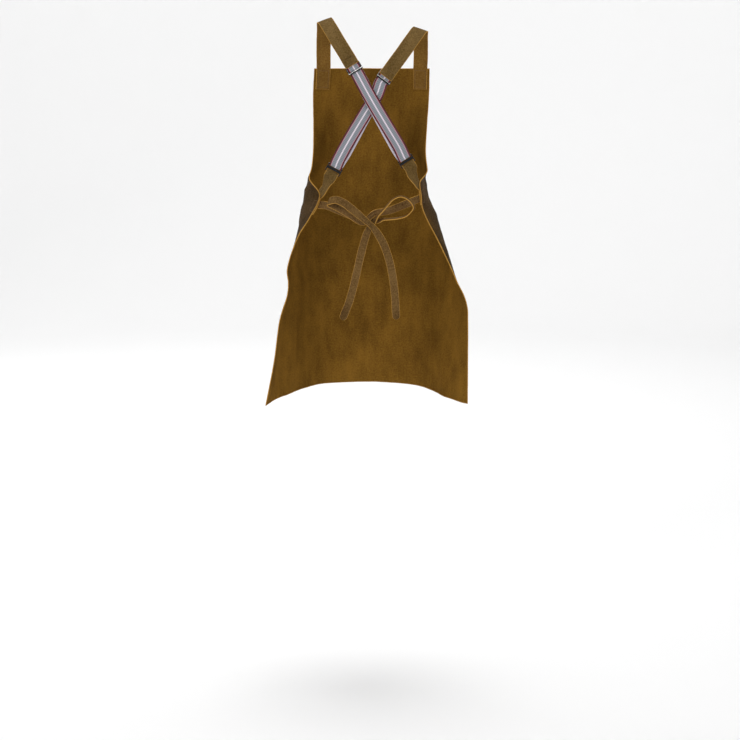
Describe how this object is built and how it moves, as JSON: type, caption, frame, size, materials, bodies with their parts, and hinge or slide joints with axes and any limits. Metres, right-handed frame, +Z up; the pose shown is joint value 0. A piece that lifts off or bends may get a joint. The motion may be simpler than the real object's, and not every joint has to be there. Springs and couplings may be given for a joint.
{
  "type": "leather apron",
  "caption": "Leather work apron in its worn form: bib and skirt in one sheet, crossed elastic back straps with metal sliders and loops, and waist ties in a bow.",
  "frame": {"origin": "on top of the shoulders, midway between the crests of the two shoulder straps", "axes": "+Z up, +Y out of the bib towards the front, +X to the right as seen from behind"},
  "size_m": [0.4706, 0.2789, 0.8838],
  "materials": {
    "panel_leather": "oiled brown leather, raw cut edges",
    "strap_leather": "oiled brown leather, raw cut edges",
    "tie_leather": "oiled brown leather, raw cut edges",
    "elastic_webbing": "woven elastic, grey with a pale middle stripe",
    "dark_metal": "black finish, half gloss"
  },
  "bodies": {
    "root": {"apron_panel": "panel_leather", "shoulder_strap_left": "strap_leather", "shoulder_strap_right": "strap_leather", "back_webbing_left": "elastic_webbing", "back_webbing_right": "elastic_webbing", "strap_slider_left": "dark_metal", "strap_slider_right": "dark_metal", "strap_loop_left": "dark_metal", "strap_loop_right": "dark_metal", "side_tab_left": "strap_leather", "side_tab_right": "strap_leather", "waist_tie_left": "tie_leather", "waist_tie_right": "tie_leather"}
  },
  "joints": []
}
